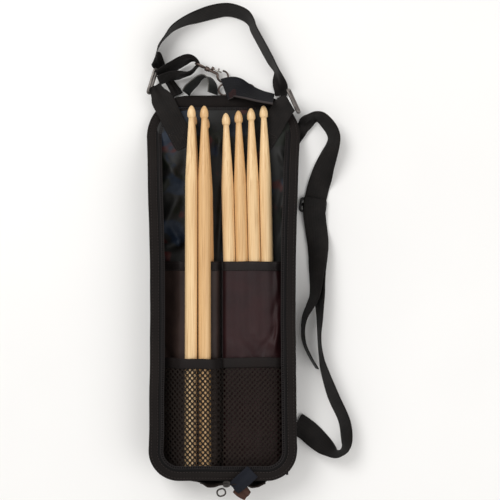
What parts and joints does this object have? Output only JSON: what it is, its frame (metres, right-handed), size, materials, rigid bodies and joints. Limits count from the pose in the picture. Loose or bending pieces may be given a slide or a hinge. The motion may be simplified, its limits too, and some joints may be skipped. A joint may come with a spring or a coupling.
{
  "type": "drum stick bag",
  "caption": "Open zip-round stick bag with pockets, mesh, hanging hooks, straps and the sticks it holds.",
  "frame": {"origin": "on the supporting surface below the middle of the back panel, on the folded cover's lining", "axes": "+X across the bag to the shoulder strap's side, +Y towards the stick tips, +Z out of the open front"},
  "size_m": [0.2321, 0.5544, 0.0524],
  "materials": {
    "shell_nylon": "woven polyester, satin",
    "lining_nylon": "satin nylon with faint blotches",
    "pocket_nylon": "satin nylon",
    "mesh": "open knitted mesh",
    "webbing": "ribbed webbing",
    "tape": "woven zip tape",
    "coil": "nylon coil",
    "hickory": "lacquered hickory",
    "nickel": "nickel plate",
    "black_plastic": "moulded acetal",
    "tab_cloth": "twill with brown lining"
  },
  "bodies": {
    "bag": {"back_panel": "shell_nylon", "lining": "lining_nylon", "gusset_wall_left": "shell_nylon", "gusset_wall_right": "shell_nylon", "gusset_wall_top": "shell_nylon", "gusset_wall_foot": "shell_nylon", "front_border": "shell_nylon", "zip_tape_bag": "tape", "zip_coil_bag": "coil", "mid_pocket_left": "pocket_nylon", "mid_pocket_right": "pocket_nylon", "mesh_pocket_left": "mesh", "mesh_pocket_right": "mesh", "hanger_webbing_left": "webbing", "hanger_webbing_right": "webbing", "hanger_ring_left": "nickel", "hanger_ring_right": "nickel", "hang_loop_right": "webbing", "swivel_eye_right": "nickel", "pull_tab": "tab_cloth", "pull_tab_backing": "tab_cloth"},
    "fold": {"cover_fold_strip": "shell_nylon"},
    "cover": {"cover_panel": "shell_nylon", "cover_lining": "lining_nylon", "cover_zip_tape": "tape", "cover_zip_coil": "coil"},
    "zip_slider": {"zip_slider": "nickel"},
    "zip_pull": {"zip_pull": "nickel"},
    "hang_left": {"hang_loop_left": "webbing", "swivel_eye_left": "nickel"},
    "hook_left": {"snap_hook_left": "nickel"},
    "bolt_left": {"snap_bolt_left": "nickel"},
    "hook_right": {"snap_hook_right": "nickel"},
    "bolt_right": {"snap_bolt_right": "nickel"},
    "grab_handle": {"grab_handle": "webbing"},
    "carry_strap": {"carry_strap": "webbing"},
    "shoulder_strap": {"shoulder_strap_upper": "webbing", "shoulder_strap_lower": "webbing", "shoulder_strap_tail": "webbing"},
    "strap_slider": {"strap_slider": "black_plastic"},
    "drumstick_1": {"drumstick_1": "hickory"},
    "drumstick_2": {"drumstick_2": "hickory"},
    "drumstick_3": {"drumstick_3": "hickory"},
    "drumstick_4": {"drumstick_4": "hickory"},
    "drumstick_5": {"drumstick_5": "hickory"},
    "drumstick_6": {"drumstick_6": "hickory"},
    "drumstick_7": {"drumstick_7": "hickory"},
    "drumstick_8": {"drumstick_8": "hickory"}
  },
  "joints": [
    {"name": "cover_fold_outer", "type": "hinge", "parent": "bag", "child": "fold", "pos_m": [0.01, -0.2172, 0.0502], "axis": [-1, 0, 0], "range_deg": [0, 270]},
    {"name": "cover_fold_inner", "type": "hinge", "parent": "fold", "child": "cover", "pos_m": [0, -0.2172, 0.002], "axis": [-1, 0, 0], "range_deg": [0, 90]},
    {"name": "zip_slider_run", "type": "slide", "parent": "bag", "child": "zip_slider", "axis": [1, 0, 0], "range_m": [-0.02, 0]},
    {"name": "zip_pull_swing", "type": "hinge", "parent": "zip_slider", "child": "zip_pull", "pos_m": [-0.0028, -0.2224, 0.0506], "axis": [0.96, 0.28, 0], "range_deg": [-50, 55]},
    {"name": "hang_left_swing", "type": "hinge", "parent": "bag", "child": "hang_left", "pos_m": [-0.0752, 0.234, 0.0135], "axis": [0, 0, 1], "range_deg": [0, 10]},
    {"name": "hook_left_swivel", "type": "hinge", "parent": "hang_left", "child": "hook_left", "pos_m": [-0.0261, 0.2485, 0.0123], "axis": [0.8863, -0.3916, -0.2473], "continuous": true},
    {"name": "bolt_left_travel", "type": "slide", "parent": "hook_left", "child": "bolt_left", "axis": [-0.8863, 0.3916, 0.2473], "range_m": [0, 0.0035], "stiffness_N_per_m": 150},
    {"name": "hook_right_swivel", "type": "hinge", "parent": "bag", "child": "hook_right", "pos_m": [0.0289, 0.2222, 0.0044], "axis": [-1, 0, 0], "range_deg": [-30, 30]},
    {"name": "bolt_right_travel", "type": "slide", "parent": "hook_right", "child": "bolt_right", "axis": [1, 0, 0], "range_m": [0, 0.0035], "stiffness_N_per_m": 150},
    {"name": "grab_handle_fold", "type": "hinge", "parent": "bag", "child": "grab_handle", "pos_m": [-0.028, 0.2168, 0.0128], "axis": [-1, 0, 0], "range_deg": [-80, 0]},
    {"name": "carry_strap_drop", "type": "hinge", "parent": "bag", "child": "carry_strap", "pos_m": [0, 0.2125, 0.0027], "axis": [1, 0, 0], "range_deg": [-90, 0]},
    {"name": "shoulder_strap_drop", "type": "hinge", "parent": "bag", "child": "shoulder_strap", "pos_m": [0.069, 0, 0.0029], "axis": [0, 1, 0], "range_deg": [0, 75]},
    {"name": "strap_slider_run", "type": "slide", "parent": "shoulder_strap", "child": "strap_slider", "axis": [0.2, 0.9798, 0], "range_m": [0, 0.01]},
    {"name": "drumstick_1_draw", "type": "slide", "parent": "bag", "child": "drumstick_1", "axis": [0.0022, 1, 0], "range_m": [0, 0.125]},
    {"name": "drumstick_2_draw", "type": "slide", "parent": "bag", "child": "drumstick_2", "axis": [-0.0017, 1, 0], "range_m": [0, 0.125]},
    {"name": "drumstick_3_draw", "type": "slide", "parent": "bag", "child": "drumstick_3", "axis": [-0.0157, 0.9999, 0], "range_m": [0, 0.01]},
    {"name": "drumstick_4_draw", "type": "slide", "parent": "bag", "child": "drumstick_4", "axis": [-0.0128, 0.9999, 0], "range_m": [0, 0.01]},
    {"name": "drumstick_5_draw", "type": "slide", "parent": "bag", "child": "drumstick_5", "axis": [-0.024, 0.9997, 0], "range_m": [0, 0.012]},
    {"name": "drumstick_6_draw", "type": "slide", "parent": "bag", "child": "drumstick_6", "axis": [-0.024, 0.9997, 0], "range_m": [0, 0.009]},
    {"name": "drumstick_7_draw", "type": "slide", "parent": "bag", "child": "drumstick_7", "axis": [-0.024, 0.9997, 0], "range_m": [0, 0.006]},
    {"name": "drumstick_8_draw", "type": "slide", "parent": "bag", "child": "drumstick_8", "axis": [-0.024, 0.9997, 0], "range_m": [0, 0.003]}
  ]
}
